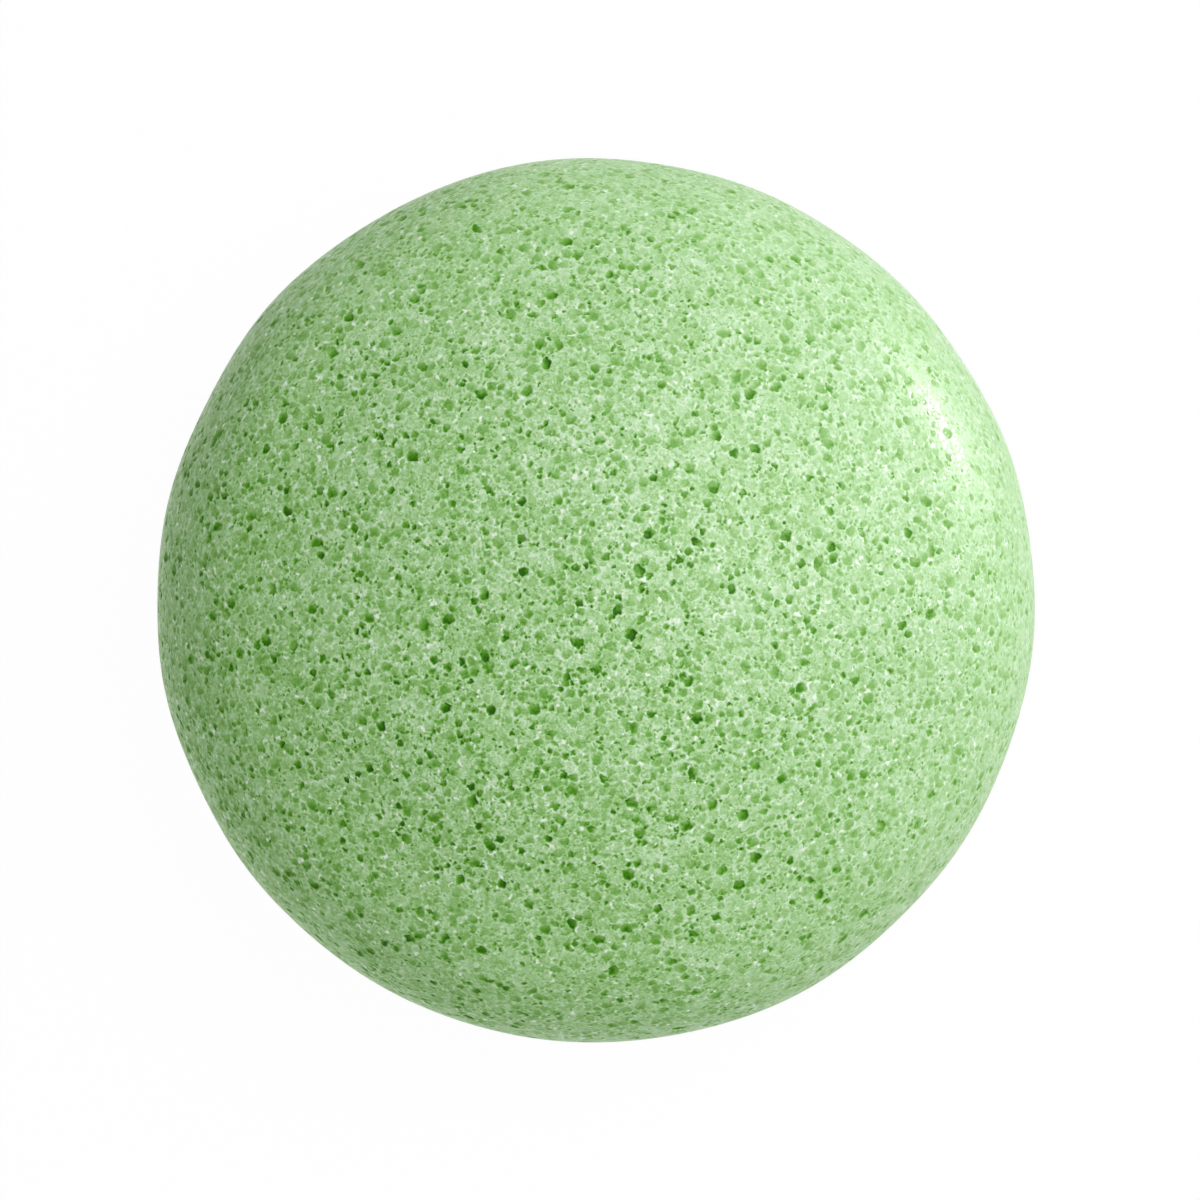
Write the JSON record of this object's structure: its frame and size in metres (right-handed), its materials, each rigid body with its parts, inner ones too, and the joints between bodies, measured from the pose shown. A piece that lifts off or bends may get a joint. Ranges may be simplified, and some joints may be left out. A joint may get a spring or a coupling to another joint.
{
  "type": "konjac sponge",
  "caption": "Half-ball konjac facial sponge: a damp, finely porous green foam dome with a flat back, pressed in the hand to wash the face.",
  "frame": {"origin": "centre of the flat back, where the sponge rests", "axes": "+Z from the flat back through the top of the dome"},
  "size_m": [0.08, 0.08, 0.03],
  "materials": {
    "konjac_foam": "damp, finely porous, slightly translucent"
  },
  "bodies": {
    "back": {"sponge_base": "konjac_foam", "sponge_middle": "konjac_foam"},
    "face": {"sponge_crown": "konjac_foam"}
  },
  "joints": [
    {"name": "squeeze", "type": "slide", "parent": "back", "child": "face", "axis": [0, 0, -1], "range_m": [0, 0.01], "stiffness_N_per_m": 300, "deforming": ["sponge_middle"]}
  ]
}
